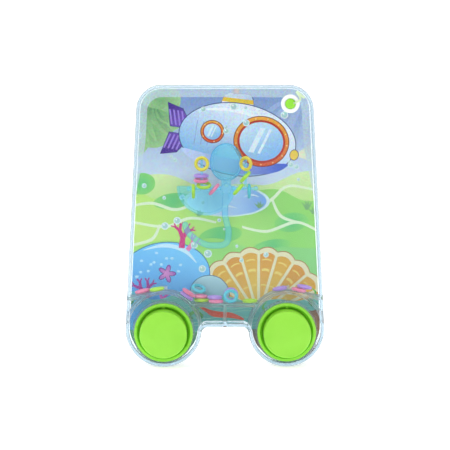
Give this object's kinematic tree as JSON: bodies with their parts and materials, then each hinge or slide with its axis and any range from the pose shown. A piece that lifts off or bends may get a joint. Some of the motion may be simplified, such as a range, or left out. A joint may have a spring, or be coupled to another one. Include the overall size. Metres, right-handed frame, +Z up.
{
  "type": "handheld water ring-toss game",
  "caption": "Clear upright tank on two round feet with a push button in each, holding a picture card, a figure with pegs and small loose rings.",
  "frame": {"origin": "under the middle of the whole object, on the plane that both feet stand on", "axes": "+Z up the tank, +X to the right as the player sees it, +Y from the front towards the back"},
  "size_m": [0.0918, 0.0268, 0.13],
  "materials": {
    "clear_case": "clear moulded plastic, polished",
    "clear_cover": "clear moulded plastic, lightly scuffed",
    "printed_card": "printed picture, matte",
    "lime_plastic": "soft satin moulded plastic",
    "seal_rubber": "soft and cloudy",
    "white_plastic": "moulded, half gloss",
    "tinted_plastic": "tinted clear plastic",
    "ring_pink": "moulded, half gloss",
    "ring_lime": "moulded, half gloss",
    "ring_purple": "moulded, half gloss",
    "ring_cyan": "moulded, half gloss",
    "ring_yellow": "moulded, half gloss"
  },
  "bodies": {
    "case": {"front_shell": "clear_case", "tank_back": "clear_case", "picture_card": "printed_card", "rear_cover": "clear_cover", "button_ring_left": "lime_plastic", "button_ring_right": "lime_plastic", "bellows_left": "seal_rubber", "bellows_right": "seal_rubber", "fill_socket": "white_plastic", "peg_figure": "tinted_plastic"},
    "button_left": {"button_cap_left": "lime_plastic"},
    "button_right": {"button_cap_right": "lime_plastic"},
    "plug": {"fill_plug": "lime_plastic"},
    "ring_01_pink": {"ring_01": "ring_pink"},
    "ring_02_lime": {"ring_02": "ring_lime"},
    "ring_03_purple": {"ring_03": "ring_purple"},
    "ring_04_pink": {"ring_04": "ring_pink"},
    "ring_05_lime": {"ring_05": "ring_lime"},
    "ring_06_pink": {"ring_06": "ring_pink"},
    "ring_07_cyan": {"ring_07": "ring_cyan"},
    "ring_08_pink": {"ring_08": "ring_pink"},
    "ring_09_purple": {"ring_09": "ring_purple"},
    "ring_10_cyan": {"ring_10": "ring_cyan"},
    "ring_11_purple": {"ring_11": "ring_purple"},
    "ring_12_lime": {"ring_12": "ring_lime"},
    "ring_13_purple": {"ring_13": "ring_purple"},
    "ring_14_pink": {"ring_14": "ring_pink"},
    "ring_15_purple": {"ring_15": "ring_purple"},
    "ring_16_lime": {"ring_16": "ring_lime"},
    "ring_17_pink": {"ring_17": "ring_pink"},
    "ring_18_purple": {"ring_18": "ring_purple"},
    "ring_19_yellow": {"ring_19": "ring_yellow"},
    "ring_20_lime": {"ring_20": "ring_lime"},
    "ring_21_pink": {"ring_21": "ring_pink"},
    "ring_22_lime": {"ring_22": "ring_lime"},
    "ring_23_lime": {"ring_23": "ring_lime"},
    "ring_24_cyan": {"ring_24": "ring_cyan"},
    "ring_25_yellow": {"ring_25": "ring_yellow"}
  },
  "joints": [
    {"name": "button_left_press", "type": "slide", "parent": "case", "child": "button_left", "axis": [0, 1, 0], "range_m": [0, 0.005], "stiffness_N_per_m": 900, "springref_m": -0.0005, "deforming": ["bellows_left"]},
    {"name": "button_right_press", "type": "slide", "parent": "case", "child": "button_right", "axis": [0, 1, 0], "range_m": [0, 0.005], "stiffness_N_per_m": 900, "springref_m": -0.0005, "deforming": ["bellows_right"]},
    {"name": "plug_pull", "type": "slide", "parent": "case", "child": "plug", "axis": [0, -1, 0], "range_m": [0, 0.008]},
    {"name": "ring_01_lift", "type": "slide", "parent": "case", "child": "ring_01_pink", "axis": [0, 0, 1], "range_m": [0, 0.035]},
    {"name": "ring_02_lift", "type": "slide", "parent": "case", "child": "ring_02_lime", "axis": [0, 0, 1], "range_m": [0, 0.06]},
    {"name": "ring_03_spin", "type": "hinge", "parent": "case", "child": "ring_03_purple", "pos_m": [-0.01762, 0.00061, 0.03275], "axis": [0.5469, 0, 0.8372], "continuous": true},
    {"name": "ring_04_lift", "type": "slide", "parent": "case", "child": "ring_04_pink", "axis": [0, 0, 1], "range_m": [0, 0.035]},
    {"name": "ring_05_spin", "type": "hinge", "parent": "case", "child": "ring_05_lime", "pos_m": [-0.01085, 0.00582, 0.03025], "axis": [0, 0, 1], "continuous": true},
    {"name": "ring_06_spin", "type": "hinge", "parent": "case", "child": "ring_06_pink", "pos_m": [-0.01137, 0.00582, 0.032], "axis": [0.0523, 0, 0.9986], "continuous": true},
    {"name": "ring_07_lift", "type": "slide", "parent": "case", "child": "ring_07_cyan", "axis": [0, 0, 1], "range_m": [0, 0.01]},
    {"name": "ring_08_spin", "type": "hinge", "parent": "case", "child": "ring_08_pink", "pos_m": [-0.0042, 0.0019, 0.03025], "axis": [0, 0, 1], "continuous": true},
    {"name": "ring_09_lift", "type": "slide", "parent": "case", "child": "ring_09_purple", "axis": [0, 0, 1], "range_m": [0, 0.035]},
    {"name": "ring_10_lift", "type": "slide", "parent": "case", "child": "ring_10_cyan", "axis": [0, 0, 1], "range_m": [0, 0.035]},
    {"name": "ring_11_lift", "type": "slide", "parent": "case", "child": "ring_11_purple", "axis": [0, 0, 1], "range_m": [0, 0.008]},
    {"name": "ring_12_lift", "type": "slide", "parent": "case", "child": "ring_12_lime", "axis": [0, 0, 1], "range_m": [0, 0.008]},
    {"name": "ring_13_lift", "type": "slide", "parent": "case", "child": "ring_13_purple", "axis": [0, 0, 1], "range_m": [0, 0.06]},
    {"name": "ring_14_spin", "type": "hinge", "parent": "case", "child": "ring_14_pink", "pos_m": [0.03421, 0.0019, 0.03534], "axis": [0.199, 0, 0.98], "continuous": true},
    {"name": "ring_15_lift", "type": "slide", "parent": "case", "child": "ring_15_purple", "axis": [0, 0, 1], "range_m": [0, 0.06]},
    {"name": "ring_16_spin", "type": "hinge", "parent": "case", "child": "ring_16_lime", "pos_m": [-0.00961, 0.00315, 0.0838], "axis": [0, -0.3746, 0.9272], "continuous": true},
    {"name": "ring_17_spin", "type": "hinge", "parent": "case", "child": "ring_17_pink", "pos_m": [-0.01093, 0.00315, 0.08611], "axis": [0, -0.1908, 0.9816], "continuous": true},
    {"name": "ring_18_spin", "type": "hinge", "parent": "case", "child": "ring_18_purple", "pos_m": [-0.01082, 0.00315, 0.08821], "axis": [0, -0.0958, 0.9954], "continuous": true},
    {"name": "ring_19_sway", "type": "hinge", "parent": "case", "child": "ring_19_yellow", "pos_m": [-0.0106, 0.00106, 0.0949], "axis": [0, 1, 0], "range_deg": [-18, 18]},
    {"name": "ring_20_sway", "type": "hinge", "parent": "case", "child": "ring_20_lime", "pos_m": [-0.01445, 0.00315, 0.0822], "axis": [1, 0, 0], "range_deg": [-20, 20]},
    {"name": "ring_21_spin", "type": "hinge", "parent": "case", "child": "ring_21_pink", "pos_m": [-0.00495, 0.00315, 0.08192], "axis": [-0.7431, 0, 0.6691], "continuous": true},
    {"name": "ring_22_spin", "type": "hinge", "parent": "case", "child": "ring_22_lime", "pos_m": [0.00938, 0.00315, 0.08769], "axis": [-0.7431, 0, 0.6691], "continuous": true},
    {"name": "ring_23_spin", "type": "hinge", "parent": "case", "child": "ring_23_lime", "pos_m": [0.00616, 0.00315, 0.08192], "axis": [-0.7431, 0, 0.6691], "continuous": true},
    {"name": "ring_24_sway", "type": "hinge", "parent": "case", "child": "ring_24_cyan", "pos_m": [0.01116, 0.00315, 0.0822], "axis": [1, 0, 0], "range_deg": [-20, 20]},
    {"name": "ring_25_sway", "type": "hinge", "parent": "case", "child": "ring_25_yellow", "pos_m": [0.00956, 0.00106, 0.0949], "axis": [0, 1, 0], "range_deg": [-10, 12]}
  ]
}
